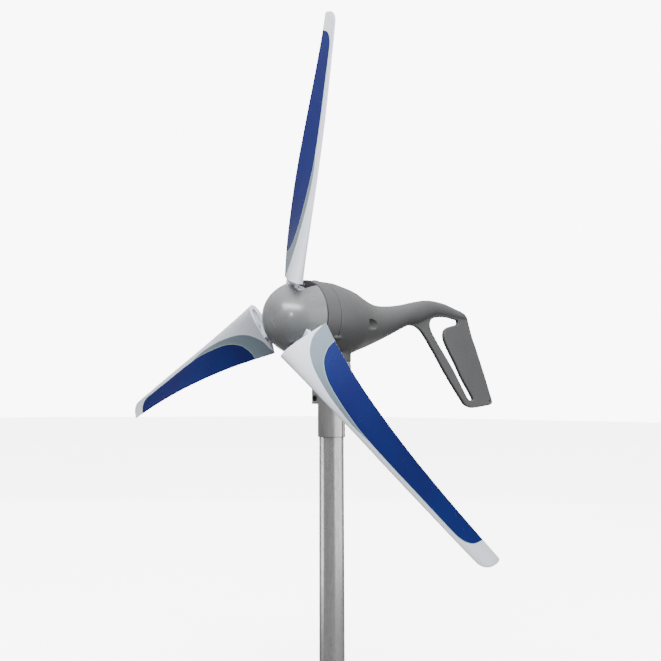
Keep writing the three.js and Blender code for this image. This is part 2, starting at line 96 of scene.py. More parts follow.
SEAL_Z = (-85, -82.3)
COLLAR_TOP = -85.3
SLEEVE_R = 27
SLEEVE_BORE = 24.45
SLEEVE_Z = (-229, -112)
EAR_AZ = 190.0
EAR_BOLT_X = 33.5
CLAMP_BOLT_Z = (-131.0, -154.0)
PIPE_R = 24.13
PIPE_BORE = 20.45
PIPE_TOP = -112.6


# ---- mesh helpers ----
def temp(verts, faces):
    """A loose object made of these faces, with its normals outwards."""
    mesh = bpy.data.meshes.new("temp")
    mesh.from_pydata([tuple(map(float, v)) for v in verts], [], faces)
    bm = bmesh.new()
    bm.from_mesh(mesh)
    bmesh.ops.recalc_face_normals(bm, faces=bm.faces)
    bm.to_mesh(mesh)
    bm.free()
    obj = bpy.data.objects.new("temp", mesh)
    bpy.context.scene.collection.objects.link(obj)
    return obj


def bake(obj):
    """Apply the modifiers of an object."""
    graph = bpy.context.evaluated_depsgraph_get()
    mesh = bpy.data.meshes.new_from_object(obj.evaluated_get(graph))
    obj.modifiers.clear()
    obj.data = mesh
    return obj


def combine(obj, others, operation):
    for other in others:
        mod = obj.modifiers.new("b", "BOOLEAN")
        mod.operation = operation
        mod.solver = "EXACT"
        mod.object = other
        bake(obj)
        bpy.data.objects.remove(other)
    return obj


def join(obj, *others):
    return combine(obj, others, "UNION")


def cut(obj, *others):
    return combine(obj, others, "DIFFERENCE")


def keep(obj, *others):
    return combine(obj, others, "INTERSECT")


def cast_skin(obj, voxel, rounds):
    """Remesh an object and soften its edges, as sand casting does."""
    remesh = obj.modifiers.new("r", "REMESH")
    remesh.mode = "VOXEL"
    remesh.voxel_size = voxel
    smooth = obj.modifiers.new("s", "SMOOTH")
    smooth.factor = 0.5
    smooth.iterations = rounds
    return bake(obj)


def bevelled(obj, width, segments=3):
    bevel = obj.modifiers.new("v", "BEVEL")
    bevel.width = width
    bevel.segments = segments
    bevel.limit_method = "ANGLE"
    bevel.angle_limit = math.radians(40)
    return bake(obj)


def moved(obj, matrix):
    obj.data.transform(matrix)
    return obj


def spin(obj, axis, degrees):
    return moved(obj, Matrix.Rotation(math.radians(degrees), 4, axis))


def shifted(obj, x, y, z):
    return moved(obj, Matrix.Translation((x, y, z)))


def lathe(profile, axis, segments=96):
    """A closed profile of (radius, position) turned about an axis."""
    verts = []
    rings = []
    for r, a in profile:
        if abs(r) < 1e-6:
            rings.append([len(verts)] * segments)
            verts.append((0.0, a, 0.0) if axis == "Y" else (0.0, 0.0, a))
            continue
        rings.append(list(range(len(verts), len(verts) + segments)))
        for i in range(segments):
            turn = 2 * math.pi * i / segments
            c, s = r * math.cos(turn), r * math.sin(turn)
            verts.append((c, a, s) if axis == "Y" else (c, s, a))
    faces = []
    count = len(profile)
    for k in range(count):
        lower, upper = rings[k], rings[(k + 1) % count]
        if lower[0] == lower[1] and upper[0] == upper[1]:
            continue
        for i in range(segments):
            j = (i + 1) % segments
            quad = [lower[i], lower[j], upper[j], upper[i]]
            unique = list(dict.fromkeys(quad))
            if len(unique) > 2:
                faces.append(unique)
    return temp(verts, faces)


def rod(axis, radius, a0, a1, segments=48):
    return lathe([(0, a0), (radius, a0), (radius, a1), (0, a1)], axis, segments)


def block(x0, x1, y0, y1, z0, z1):
    verts = [(x, y, z) for x in (x0, x1) for y in (y0, y1) for z in (z0, z1)]
    faces = [(0, 1, 3, 2), (4, 6, 7, 5), (0, 4, 5, 1), (2, 3, 7, 6), (0, 2, 6, 4), (1, 5, 7, 3)]
    return temp(verts, faces)


def blob(centre, radii, segments=48):
    rows = segments // 2
    profile = []
    for i in range(rows + 1):
        turn = math.pi * i / rows
        profile.append((math.sin(turn) if 0 < i < rows else 0.0, -math.cos(turn)))
    obj = lathe(profile, "Z", segments)
    moved(obj, Matrix.Diagonal((*radii, 1.0)))
    return shifted(obj, *centre)


def loft(loops):
    count = len(loops[0])
    verts = [p for loop in loops for p in loop]
    faces = []
    for i in range(len(loops) - 1):
        for j in range(count):
            k = (j + 1) % count
            a, b = i * count + j, i * count + k
            faces.append((a, b, b + count, a + count))
    faces.append(tuple(range(count)))
    base = (len(loops) - 1) * count
    faces.append(tuple(range(base + count - 1, base - 1, -1)))
    return temp(verts, faces)


def rounded_loop(points, steps=6):
    """A closed Catmull-Rom curve through 2-D points."""
    out = []
    n = len(points)
    for i in range(n):
        p0, p1, p2, p3 = (np.array(points[(i + k - 1) % n], float) for k in range(4))
        for s in range(steps):
            t = s / steps
            out.append(0.5 * (2 * p1 + (p2 - p0) * t + (2 * p0 - 5 * p1 + 4 * p2 - p3) * t ** 2
                              + (3 * p1 - p0 - 3 * p2 + p3) * t ** 3))
    return out


def plate(outline, half):
    """A prism through an outline of (y, z) points, centred on the plane X = 0."""
    count = len(outline)
    verts = [(x, y, z) for x in (-half, half) for y, z in outline]
    faces = [tuple(range(count)), tuple(range(2 * count - 1, count - 1, -1))]
    for i in range(count):
        j = (i + 1) % count
        faces.append((i, j, j + count, i + count))
    return temp(verts, faces)


def smooth_at(stations, column, x):
    """Smooth value at x through stations sorted by their first column."""
    last = len(stations) - 1
    i = 0
    while i < last - 1 and x > stations[i + 1][0]:
        i += 1
    before, p, q = stations[max(i - 1, 0)], stations[i], stations[i + 1]
    after = stations[min(i + 2, last)]
    span = q[0] - p[0]
    m0 = (q[column] - before[column]) / (q[0] - before[0]) * span
    m1 = (after[column] - p[column]) / (after[0] - p[0]) * span
    s = min(max((x - p[0]) / span, 0.0), 1.0)
    return ((2 * s ** 3 - 3 * s ** 2 + 1) * p[column] + (s ** 3 - 2 * s ** 2 + s) * m0
            + (3 * s ** 2 - 2 * s ** 3) * q[column] + (s ** 3 - s ** 2) * m1)


def piece(name, obj, body, nodes, material, sharp=35.0):
    """Finish one piece: metres in the row frame, shading, material, body and replaced nodes."""
    obj.name = name
    obj.data.name = name
    moved(obj, Matrix.Translation((0, 0, SHAFT_HEIGHT / 1000)) @ Matrix.Scale(0.001, 4))
    obj.data.shade_smooth()
    if sharp:
        obj.data.set_sharp_from_angle(angle=math.radians(sharp))
    obj.data.materials.clear()
    obj.data.materials.append(material)
    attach(obj, body)
    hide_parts(*nodes)
    return obj


# ---- materials ----
class Paint:
    """A small builder for procedural materials."""

    def __init__(self, name):
        self.mat = bpy.data.materials.new(name)
        self.mat.use_nodes = True
        self.tree = self.mat.node_tree
        self.bsdf = self.tree.nodes["Principled BSDF"]

    def node(self, kind, **inputs):
        made = self.tree.nodes.new(kind)
        for key, value in inputs.items():
            if isinstance(value, bpy.types.NodeSocket):
                self.tree.links.new(value, made.inputs[key])
            else:
                made.inputs[key].default_value = value
        return made

    def coords(self, scale=(1, 1, 1)):
        source = self.tree.nodes.new("ShaderNodeTexCoord").outputs["Object"]
        return self.node("ShaderNodeMapping", Vector=source, Scale=scale).outputs[0]

    def noise(self, scale, detail=4.0, rough=0.55, stretch=(1, 1, 1)):
        made = self.node("ShaderNodeTexNoise", Vector=self.coords(stretch), Scale=scale, Detail=detail,
                         Roughness=rough)
        return made.outputs["Fac"]

    def math(self, operation, a, b=0.0, clamp=False):
        made = self.tree.nodes.new("ShaderNodeMath")
        made.operation = operation
        made.use_clamp = clamp
        for i, value in enumerate((a, b)):
            if isinstance(value, bpy.types.NodeSocket):
                self.tree.links.new(value, made.inputs[i])
            else:
                made.inputs[i].default_value = value
        return made.outputs[0]

    def span(self, value, a, b, low, high):
        made = self.node("ShaderNodeMapRange", Value=value)
        for key, number in zip(("From Min", "From Max", "To Min", "To Max"), (a, b, low, high)):
            made.inputs[key].default_value = number
        return made.outputs[0]

    def mix(self, factor, a, b):
        made = self.tree.nodes.new("ShaderNodeMix")
        made.data_type = "RGBA"
        for socket, value in ((made.inputs[0], factor), (made.inputs[6], a), (made.inputs[7], b)):
            if isinstance(value, bpy.types.NodeSocket):
                self.tree.links.new(value, socket)
            else:
                socket.default_value = value if not isinstance(value, tuple) else (*value[:3], 1.0)
        return made.outputs[2]

    def attribute(self, name):
        made = self.tree.nodes.new("ShaderNodeAttribute")
        made.attribute_name = name
        return made.outputs["Fac"]

    def put(self, key, value):
        if isinstance(value, bpy.types.NodeSocket):
            self.tree.links.new(value, self.bsdf.inputs[key])
        elif isinstance(value, tuple):
            self.bsdf.inputs[key].default_value = (*value, 1.0)
        else:
            self.bsdf.inputs[key].default_value = value

    def bump(self, height, strength, distance, below=None):
        made = self.node("ShaderNodeBump", Height=height, Strength=strength, Distance=distance)
        if below is not None:
            self.tree.links.new(below, made.inputs["Normal"])
        return made.outputs[0]


def toned(colour, factor):
    return tuple(min(c * factor, 1.0) for c in colour)


def cast_paint(name, colour, rough=0.42):
    p = Paint(name)
    fine = p.noise(900, 3)
    broad = p.noise(14, 4)
    tint = p.mix(p.span(broad, 0.3, 0.7, 0.0, 1.0), toned(colour, 0.94), toned(colour, 1.06))
    speck = p.mix(p.span(fine, 0.35, 0.7, 0.0, 0.35), tint, toned(colour, 0.8))
    p.put("Base Color", speck)
    p.put("Metallic", 0.0)
    p.put("Roughness", p.span(p.noise(60, 4), 0.3, 0.7, rough - 0.05, rough + 0.07))
    p.put("Specular IOR Level", 0.5)
    p.put("Normal", p.bump(fine, 0.12, 0.0003, p.bump(p.noise(130, 2), 0.08, 0.0008)))
    return p.mat


def moulded(name, colour, rough=0.25, coat=0.3, gloss=0.16):
    p = Paint(name)
    broad = p.noise(20, 3)
    tint = p.mix(p.span(broad, 0.0, 1.0, 0.0, 1.0), toned(colour, 0.97), toned(colour, 1.03))
    p.put("Base Color", tint)
    p.put("Roughness", p.span(broad, 0.0, 1.0, rough - 0.02, rough + 0.02))
    p.put("Coat Weight", coat)
    p.put("Coat Roughness", gloss)
    return p.mat


def metal(name, colour, rough=0.3, stretch=(1, 1, 1), scale=300, spread=0.12, metallic=1.0):
    p = Paint(name)
    grain = p.noise(scale, 5, 0.6, stretch)
    p.put("Base Color", p.mix(p.span(grain, 0.3, 0.7, 0.0, 1.0), toned(colour, 0.82), toned(colour, 1.12)))
    p.put("Metallic", metallic)
    p.put("Roughness", p.span(grain, 0.3, 0.7, rough - spread / 2, rough + spread / 2))
    p.put("Normal", p.bump(grain, 0.1, 0.0003))
    return p.mat


def galvanized(name):
    p = Paint(name)
    streaks = p.noise(60, 6, 0.6, (1, 1, 0.03))
    spangle = p.node("ShaderNodeTexVoronoi", Vector=p.coords((1, 1, 0.35)), Scale=220).outputs["Color"]
    spangle = p.node("ShaderNodeSeparateColor", Color=spangle).outputs[0]
    long_marks = p.span(streaks, 0.35, 0.65, 0.0, 0.75)
    wear = p.math("ADD", long_marks, p.span(spangle, 0, 1, 0.0, 0.25), clamp=True)
    p.put("Base Color", p.mix(wear, (0.30, 0.30, 0.305), (0.62, 0.62, 0.615)))
    p.put("Metallic", 0.85)
    p.put("Roughness", p.span(wear, 0, 1, 0.34, 0.22))
    p.put("Normal", p.bump(streaks, 0.15, 0.0006, p.bump(p.noise(500, 3), 0.1, 0.0003)))
    return p.mat


FAR = 1000.0  # added to stored distances, so that faces made by a boolean count as outside both bands
OUTSIDE = -9.0  # distance that is stored for the back of the blade, which has no bands
BLADE_WHITE = (0.74, 0.78, 0.86)
BLADE_SILVER = (0.22, 0.28, 0.335)
BLADE_LINE = (0.40, 0.55, 0.49)
BLADE_BLUE = (0.0085, 0.0105, 0.098)
BLADE_BLUE_2 = (0.0075, 0.017, 0.120)
SEAM_GREY = (0.30, 0.33, 0.37)
TAPE_EDGE = 6.5
TAPE_WAVE = 1.5
TAPE_PITCH = 20.0


def blade_paint():
    """White plastic with silver and blue film bands, and the wavy edge of a tape on the leading edge."""
    p = Paint("blade_plastic")
    blue_d = p.math("SUBTRACT", p.attribute("blue_d"), FAR)
    band_d = p.math("SUBTRACT", p.attribute("band_d"), FAR)
    blue = p.span(blue_d, -0.15, 0.15, 0.0, 1.0)
    line = p.span(blue_d, -1.3, -1.0, 0.0, 1.0)
    band = p.span(band_d, -0.2, 0.2, 0.0, 1.0)
    white = p.mix(p.span(p.noise(25, 3), 0.3, 0.7, 0.0, 1.0), toned(BLADE_WHITE, 0.97), BLADE_WHITE)
    flake = p.noise(2500, 2)
    silver = p.mix(p.span(flake, 0.3, 0.7, 0.0, 1.0), toned(BLADE_SILVER, 0.85), toned(BLADE_SILVER, 1.15))
    deep = p.mix(p.span(p.noise(9, 3), 0.3, 0.7, 0.0, 1.0), BLADE_BLUE, BLADE_BLUE_2)
    colour = p.mix(band, white, silver)
    colour = p.mix(line, colour, BLADE_LINE)
    colour = p.mix(blue, colour, deep)
    along, edge = p.attribute("span_mm"), p.attribute("edge_mm")
    turns = p.math("SINE", p.math("MULTIPLY", along, 2 * math.pi / TAPE_PITCH))
    wave = p.math("MULTIPLY", turns, TAPE_WAVE)
    past = p.math("SUBTRACT", p.math("SUBTRACT", edge, TAPE_EDGE), wave)
    off = p.math("ABSOLUTE", past)
    reach = p.math("MULTIPLY", p.span(along, 300, 330, 0.0, 1.0), p.span(along, 568, 574, 1.0, 0.0))
    seam = p.math("MULTIPLY", p.span(off, 0.25, 0.7, 1.0, 0.0), reach)
    colour = p.mix(p.math("MULTIPLY", seam, 0.45), colour, SEAM_GREY)
    p.put("Base Color", colour)
    p.put("Metallic", p.math("MULTIPLY", p.math("SUBTRACT", band, blue, clamp=True), 0.35))
    p.put("Roughness", p.span(p.noise(30, 3), 0.3, 0.7, 0.24, 0.28))
    p.put("Specular IOR Level", 0.24)
    tape = p.math("MULTIPLY", p.span(past, -0.2, 0.4, 1.0, 0.0), reach)
    p.put("Normal", p.bump(tape, 0.5, 0.0003, p.bump(p.noise(45, 2), 0.02, 0.001)))
    return p.mat


NACELLE_PAINT = cast_paint("satin_grey_casting", (0.074, 0.075, 0.077))
NOSE_PAINT = moulded("gloss_grey_nose", (0.150, 0.156, 0.163), 0.27, 0.3, 0.12)
BLADE_PAINT = blade_paint()
BRIGHT_STEEL = metal("bright_steel", (0.70, 0.71, 0.72), 0.26)
# Near-black steel for the clamp bolts and nuts only. It is painted shade: the colour makes them read as the
# dark shade inside the clamp slot.
SHADE_DARK_STEEL = metal("black_steel", (0.07, 0.07, 0.072), 0.42)
PIPE = galvanized("galvanized_pipe")
HUB_METAL = metal("machined_aluminium", (0.62, 0.63, 0.65), 0.34, (1, 6, 1), 120)
IRON = metal("iron_core", (0.24, 0.24, 0.25), 0.5, (1, 9, 1), 200)
COPPER = metal("copper_winding", (0.58, 0.24, 0.10), 0.34, (1, 1, 1), 900)
BRASS = metal("brass_ring", (0.62, 0.44, 0.18), 0.28, (1, 1, 8), 250)
MAGNET = metal("coated_magnet", (0.12, 0.12, 0.13), 0.5, (1, 1, 1), 400, 0.12, 0.3)
BARE_CASTING = metal("bare_cast_aluminium", (0.50, 0.50, 0.50), 0.36, (1, 1, 0.12), 90, 0.16, 0.9)
SEAL = moulded("seal_rubber", (0.42, 0.42, 0.40), 0.6, 0.0)
BLACK = moulded("black_plastic", (0.025, 0.025, 0.028), 0.5, 0.0)
CARBON = moulded("carbon_brush", (0.04, 0.04, 0.042), 0.65, 0.0)
BOARD = moulded("circuit_board", (0.02, 0.14, 0.05), 0.4, 0.1)


# ---- blades ----
# Each row is radius, leading edge (across, upwind), trailing edge (across, upwind).
BLADE_STATIONS = [
    (70, 41.5, 23, -54, -23.5), (130, 31.5, 15.5, -55, -12), (200, 19.5, 8.8, -56.5, -3.5),
    (280, 5, 3.2, -60, 1), (370, -11.5, -0.9, -65.3, 0.8), (456, -28.7, -3.5, -72.6, -2.5),
    (540, -46.2, -5.5, -82.2, -6.5), (585, -56.2, -6.7, -88.4, -8)]
BLADE_THICKNESS = [(70, 0.25), (130, 0.2), (230, 0.15), (400, 0.12), (585, 0.11)]
# Edges of the film bands: radius and share of the chord, from the leading edge.
BLUE_EDGE = [(119, 1.06), (120, 0.90), (124, 0.79), (136, 0.63), (154, 0.515), (173, 0.435), (195, 0.375),
             (218, 0.33), (240, 0.29), (263, 0.25), (290, 0.215), (330, 0.205), (380, 0.215), (430, 0.23),
             (480, 0.235), (515, 0.24), (529, 0.29), (538, 0.40), (544, 0.56), (547, 0.78), (549, 1.06)]
BAND_EDGE = [(60, 1.06), (72, 0.90), (80, 0.70), (99, 0.52), (118, 0.42), (143, 0.335), (173, 0.27),
             (204, 0.21), (236, 0.17), (272, 0.145), (300, 0.17), (320, 0.22), (335, 0.30)]


def corner_loss(radius, size):
    reach = max(radius - (ROTOR_R - size), 0.0) / size
    return size * (1 - math.sqrt(max(1 - reach * reach, 0.0)))


def dense(points, steps=10):
    """A fine polyline through points, without its end tangents."""
    out = []
    for i in range(len(points) - 1):
        p0 = np.array(points[max(i - 1, 0)], float)
        p1, p2 = np.array(points[i], float), np.array(points[i + 1], float)
        p3 = np.array(points[min(i + 2, len(points) - 1)], float)
        for s in range(steps):
            t = s / steps
            out.append(0.5 * (2 * p1 + (p2 - p0) * t + (2 * p0 - 5 * p1 + 4 * p2 - p3) * t ** 2
                              + (3 * p1 - p0 - 3 * p2 + p3) * t ** 3))
    out.append(np.array(points[-1], float))
    return np.array(out)


def chord_at(radius):
    lt, lh, tt, th = (smooth_at(BLADE_STATIONS, k, radius) for k in (1, 2, 3, 4))
    return lt, lh, tt, th, math.hypot(tt - lt, th - lh)


def signed_distance(points, line):
    """Distance of (radius, along the chord) points from a polyline, positive towards the trailing edge."""
    a, b = line[:-1], line[1:]
    d = b - a
    best = np.full(len(points), 1e9)
    sign = np.ones(len(points))
    for i in range(len(a)):
        w = points - a[i]
        t = np.clip((w @ d[i]) / (d[i] @ d[i]), 0, 1)
        off = w - t[:, None] * d[i]
        dist = np.hypot(off[:, 0], off[:, 1])
        side = np.sign(d[i, 0] * w[:, 1] - d[i, 1] * w[:, 0])
        closer = dist < best - 1e-9
        best = np.where(closer, dist, best)
        sign = np.where(closer, side, sign)
    return best * sign


def band_line(edge):
    return np.array([(r, c * chord_at(min(max(r, 70), 585))[4]) for r, c in dense(edge)])


def blade_mesh():
    """Vertices and faces of a blade, with each vertex's radius, chord run, side and run from its own edge."""
    half_count = 44
    radii = [*np.arange(70.0, 560.0, 3.0), *np.linspace(560, 583, 24), 583.8, 584.4, 584.8, ROTOR_R]
    loops, flat = [], []
    for radius in radii:
        lt, lh, tt, th, chord = chord_at(radius)
        along = ((tt - lt) / chord, (th - lh) / chord)
        back = (-along[1], along[0])
        thick = smooth_at(BLADE_THICKNESS, 1, radius) * chord
        nose, heel = corner_loss(radius, TIP_NOSE), corner_loss(radius, TIP_HEEL)
        used = chord - nose - heel
        loop = []
        for side in (0, 1):
            for i in range(half_count):
                turn = i / half_count if side == 0 else 1 - i / half_count
                u = 0.5 - 0.5 * math.cos(math.pi * turn)
                shape = 1.4845 * math.sqrt(u) - 0.63 * u - 1.758 * u * u + 1.4215 * u ** 3 - 0.508 * u ** 4
                half = max(shape * thick * used / chord, 0.0) + 0.35 * u
                bow = 0.03 * chord * 4 * u * (1 - u)
                off = (half if side == 0 else -half) + bow
                run = nose + u * used
                loop.append((lt + along[0] * run + back[0] * off,
                             BLADE_Y - (lh + along[1] * run + back[1] * off), radius))
                flat.append((radius, run, 1.0 if side == 1 else 0.0, run - nose))
        loops.append(loop)
    count = 2 * half_count
    verts = [p for loop in loops for p in loop]
    faces = []
    for i in range(len(loops) - 1):
        for j in range(count):
            k = (j + 1) % count
            a, b = i * count + j, i * count + k
            faces.append((a, b, b + count, a + count))
    for base, flip in ((0, False), ((len(loops) - 1) * count, True)):
        for j in range(half_count):
            a, b = base + (count - j) % count, base + (count - j - 1) % count
            c, d = base + j + 1, base + j
            quad = list(dict.fromkeys((a, b, c, d)))
            faces.append(tuple(reversed(quad)) if flip else tuple(quad))
    return verts, faces, np.array(flat)


def build_blades():
    verts, faces, flat = blade_mesh()
    base = temp(verts, faces)
    points = flat[:, :2]
    blue = signed_distance(points, band_line(BLUE_EDGE))
    band = signed_distance(points, band_line(BAND_EDGE))
    front = flat[:, 2] > 0.5
    blue = np.where(front, blue, np.minimum(blue, OUTSIDE))
    band = np.where(front, band, np.minimum(band, OUTSIDE))
    rows = {"blue_d": blue + FAR, "band_d": band + FAR, "span_mm": flat[:, 0], "edge_mm": flat[:, 3]}
    for key, values in rows.items():
        layer = base.data.attributes.new(key, "FLOAT", "POINT")
        layer.data.foreach_set("value", np.asarray(values, dtype=np.float32))
    scoop = blob((0, 0, 0), (38, 8, 7))
    spin(scoop, "Z", -26)
    shifted(scoop, 0, BLADE_Y - 3, BLADE_ROOT)
    cut(base, scoop)
    tang = block(*TANG_T, *TANG_Y, TANG_INNER, BLADE_ROOT + 8)
    waist = block(TANG_WAIST[0], TANG_T[1] + 2, -121, -109, TANG_WAIST[1], BLADE_ROOT + 10)
    join(base, bevelled(cut(tang, waist), 1.5))
    cut(base, *[shifted(rod("Y", 3.3, -125, -105, 32), t, 0, BLADE_BOLT_R) for t in BLADE_BOLT_T])
    for k in range(3):
        blade = base.copy()
        blade.data = base.data.copy()
        bpy.context.scene.collection.objects.link(blade)
        spin(blade, "Y", ROTOR_TURN + 120 * k)
        piece(f"blade_skin_{k + 1}", blade, "rotor", [f"blade_{k + 1}"], BLADE_PAINT, 40)
    bpy.data.objects.remove(base)


# ---- nose cone and hub ----
def nose_radius(y, inset):
    s = min(max((RIM_Y - y) / (NOSE_LENGTH - inset), 0.0), 1.0)
    return (RIM_R - inset) * max(1 - s ** 1.35, 0.0) ** (1 / 2.8)


def softened(points, rounds):
    """An open polyline with its corners cut, rounds times over. Its ends stay."""
    for _ in range(rounds):
        inner = [(p[0] + (q[0] - p[0]) * f, p[1] + (q[1] - p[1]) * f)
                 for p, q in zip(points, points[1:]) for f in (0.25, 0.75)]
        points = [points[0], *inner[1:-1], points[-1]]
    return points


def build_nose():
    steps = 70
    outer, inner = [], []
    for i in range(steps + 1):
        s = 1 - (1 - i / steps) ** 2.4
        y, y_in = RIM_Y - NOSE_LENGTH * s, RIM_Y - (NOSE_LENGTH - NOSE_WALL) * s
        outer.append((nose_radius(y, 0) if i < steps else 0.0, y))
        inner.append((nose_radius(y_in, NOSE_WALL) if i < steps else 0.0, y_in))
    shell = lathe(inner[::-1] + outer, "Y", 180)
    lip = lathe([(70, -98.4), (60, -98.4), (60, -95.4), (70, -95.4)], "Y", 180)
    join(shell, lip)
    outline = softened([(NOTCH[-1][0], RIM_Y + 5), *NOTCH[::-1], (NOTCH[0][0], RIM_Y + 5)], 2)
    count = len(outline)
    verts = [(x, y, z) for z in (30, 100) for x, y in outline]
    faces = [tuple(range(count)), tuple(range(2 * count - 1, count - 1, -1))]
    faces += [(i, (i + 1) % count, (i + 1) % count + count, i + count) for i in range(count)]
    for k in range(3):
        cut(shell, spin(temp(verts, faces), "Y", ROTOR_TURN + 120 * k))
    piece("nose_shell", shell, "rotor", ["nose_cone"], NOSE_PAINT, 30)


def build_hub():
    hub = rod("Y", HUB_R, *HUB_Y, 120)
    cut(hub, rod("Y", 8.8, -112, -98, 64))
    for k in range(3):
        cut(hub, spin(shifted(rod("Y", 13, -112, -98, 64), 0, 0, -34), "Y", ROTOR_TURN + 120 * k))
        for t in BLADE_BOLT_T:
            hole = shifted(rod("Y", 3.3, -112, -98, 32), t, 0, BLADE_BOLT_R)
            cut(hub, spin(hole, "Y", ROTOR_TURN + 120 * k))
    bevelled(hub, 0.6, 2)
    piece("hub_disc", hub, "rotor", ["hub_plate"], HUB_METAL)


def cap_screw(head_r, head, shank_r, shank):
    """Socket-head screw along +Y: its head starts at 0."""
    c = 0.5
    profile = [(0, 0), (head_r - c, 0), (head_r, c), (head_r, head), (shank_r + 0.3, head)]
    profile += [(shank_r, head + 0.4), (shank_r, shank - 0.6), (shank_r - 0.6, shank), (0, shank)]
    screw = lathe(profile, "Y", 48)
    socket = rod("Y", head_r * 0.52, -1, head * 0.55, 6)
    return cut(screw, socket)


def hex_nut(radius, thick, bore):
    nut = rod("Y", radius, 0, thick, 6)
    bevelled(nut, 0.35, 2)
    return cut(nut, rod("Y", bore, -1, thick + 1, 32))


def place_copy(base, name, matrix, body, node, finish=None):
    copy = base.copy()
    copy.data = base.data.copy()
    bpy.context.scene.collection.objects.link(copy)
    moved(copy, matrix)
    piece(name, copy, body, [node], finish or BRIGHT_STEEL)


def build_blade_fasteners():
    bolt = cap_screw(5, 5.1, 3, 31.9)
    nut = hex_nut(5.8, 4.8, 3.25)
    for k in range(3):
        turn = Matrix.Rotation(math.radians(ROTOR_TURN + 120 * k), 4, "Y")
        for letter, t in zip("ab", BLADE_BOLT_T):
            tag = f"{k + 1}{letter}"
            at = turn @ Matrix.Translation((t, -125.4, BLADE_BOLT_R))
            place_copy(bolt, f"screw_root_{tag}", at, "rotor", f"blade_bolt_{tag}")
            at = turn @ Matrix.Translation((t, -99.4, BLADE_BOLT_R))
            place_copy(nut, f"nut_root_{tag}", at, "rotor", f"blade_nut_{tag}")
    bpy.data.objects.remove(bolt)
    bpy.data.objects.remove(nut)


# ---- nacelle ----
# Each row is y, height of the middle, half height, half width.
POD = [
    (-45.3, 0, 75.5, 75.5), (-20, 0.5, 75.5, 75.5), (2, 0, 73, 73.5), (35, 0, 67, 67), (60, 0, 58.5, 58),
    (93, 0.5, 48, 46), (126, 4, 39.5, 35), (171, 14, 32, 25.5), (214, 26.5, 26.5, 20), (239, 34, 25, 17.5),
    (270, 41, 25, 15), (300, 49, 22, 12.5), (330, 54.5, 17.5, 10.5), (369, 54, 15, 9), (410, 48.5, 12.5, 8),
    (440, 45, 9, 7), (452, 42, 4, 5)]
FIN_OUTLINE = [
    (225, 14), (239, 9.5), (254, 9), (265, 7), (280, 0), (295, -13), (325, -45), (363, -89), (402, -130),
    (426, -154), (433, -161), (442, -166), (455, -169.5), (468, -171), (494, -168.5), (525, -165),
    (540, -162.5), (545, -159), (546, -153), (537, -134), (528, -114), (504, -65), (487, -31), (471, -2),
    (463, 18), (458, 31), (454, 42), (448, 48), (440, 52.5), (410, 59), (369, 67), (329, 70.5), (297, 69.5),
    (270, 64), (225, 40)]
FIN_SLOT = [
    (311.5, 18), (316, 27), (327, 32), (340, 34.5), (355, 36.3), (380, 37), (413, 34), (417, 31),
    (417.5, 27), (414, 23.5), (396, 19), (382, 15.5), (371, 10), (365, 3), (363, -6), (365, -15),
    (371, -26), (385, -45), (405, -70), (428, -102), (453, -130), (469, -149), (467, -152.5),
    (458, -152.5), (450, -150.5), (445, -146), (423, -119), (404, -95), (384, -72), (345, -32),
    (329, -14), (318, -1), (312.5, 9)]


def pod_loops(inset, cuts, sides=96):
    loops = []
    for y in cuts:
        middle, high, wide = (smooth_at(POD, k, y) for k in (1, 2, 3))
        loops.append([((wide - inset) * math.cos(a), y, middle + (high - inset) * math.sin(a))
                      for a in np.linspace(0, 2 * math.pi, sides, endpoint=False)])
    return loops


def blister(angle, y0, y1):
    bump = blob((0, BODY_FRONT, BODY_R - 1), (4.8, 13, 4))
    return spin(keep(bump, block(-20, 20, y0, y1, 50, 95)), "Y", angle)


def screw_hole(radius, y0, y1, segments, angle):
    return spin(shifted(rod("Y", radius, y0, y1, segments), 0, 0, SCREW_RADIUS), "Y", angle)


def screw_boss(y0, y1, angle):
    return screw_hole(6.2, y0, y1, 32, angle)


def front_core():
    """The front of the pod, 1 mm inside its surface."""
    return loft(pod_loops(1, np.arange(BODY_FRONT, 120, 8.0)))


def build_casting():
    pod = loft(pod_loops(0, [*np.arange(BODY_FRONT, 452, 6.0), 452]))
    fin = plate(rounded_loop(FIN_OUTLINE, 4), 4.5)
    join(pod, fin, lathe(NECK, "Z", 128))
    front = rod("Y", BODY_R - WALL, BODY_FRONT - 1, -32, 128)
    rear = lathe([(0, -22), (70, -22), (68, 2), (61.5, 35), (52.5, 58), (40, 78), (0, 84)], "Y", 96)
    boom = loft(pod_loops(5.5, list(range(70, 237, 10)), 48))
    cut(pod, front, rear, boom)
    tube = rod("Z", 31, NECK_Z, -22, 96)
    clip = join(front_core(), lathe(NECK, "Z", 128))
    join(pod, keep(tube, clip), rod("Y", 22, -33, -20.5, 64))
    for angle in SCREW_ANGLES:
        join(pod, screw_boss(BODY_FRONT, -31, angle), blister(angle, BODY_FRONT, BODY_FRONT + 20))
    cut(pod, rod("Z", 26.3, NECK_Z - 1, -21, 96), rod("Y", 16.3, -34, -22, 64), rod("Y", 13, -23, -19, 48))
    for angle in (0, 90, 270):
        cut(pod, spin(shifted(rod("Y", 11, -33, -20, 48), 0, 0, 45), "Y", angle))
    for angle in SCREW_ANGLES:
        cut(pod, screw_hole(2.9, BODY_FRONT - 1, -33, 24, angle))
    cut(pod, plate(rounded_loop(FIN_SLOT, 4), 30))
    cut(pod, shifted(spin(rod("Z", 2.6, -20, 20, 32), "Y", 90), 0, *TAIL_HOLE))
    for x in (-POCKET_X, POCKET_X):
        wall = shifted(rod("Y", POCKET_R + 4, 38, 92, 48), x, 0, POCKET_Z)
        join(pod, keep(wall, front_core()))
    cast_skin(pod, 1.4, 6)
    for x in (-POCKET_X, POCKET_X):
        cut(pod, shifted(rod("Y", POCKET_R, 43, 98, 64), x, 0, POCKET_Z))
    piece("nacelle_body", pod, "nacelle", ["nacelle_casting"], NACELLE_PAINT, 42)


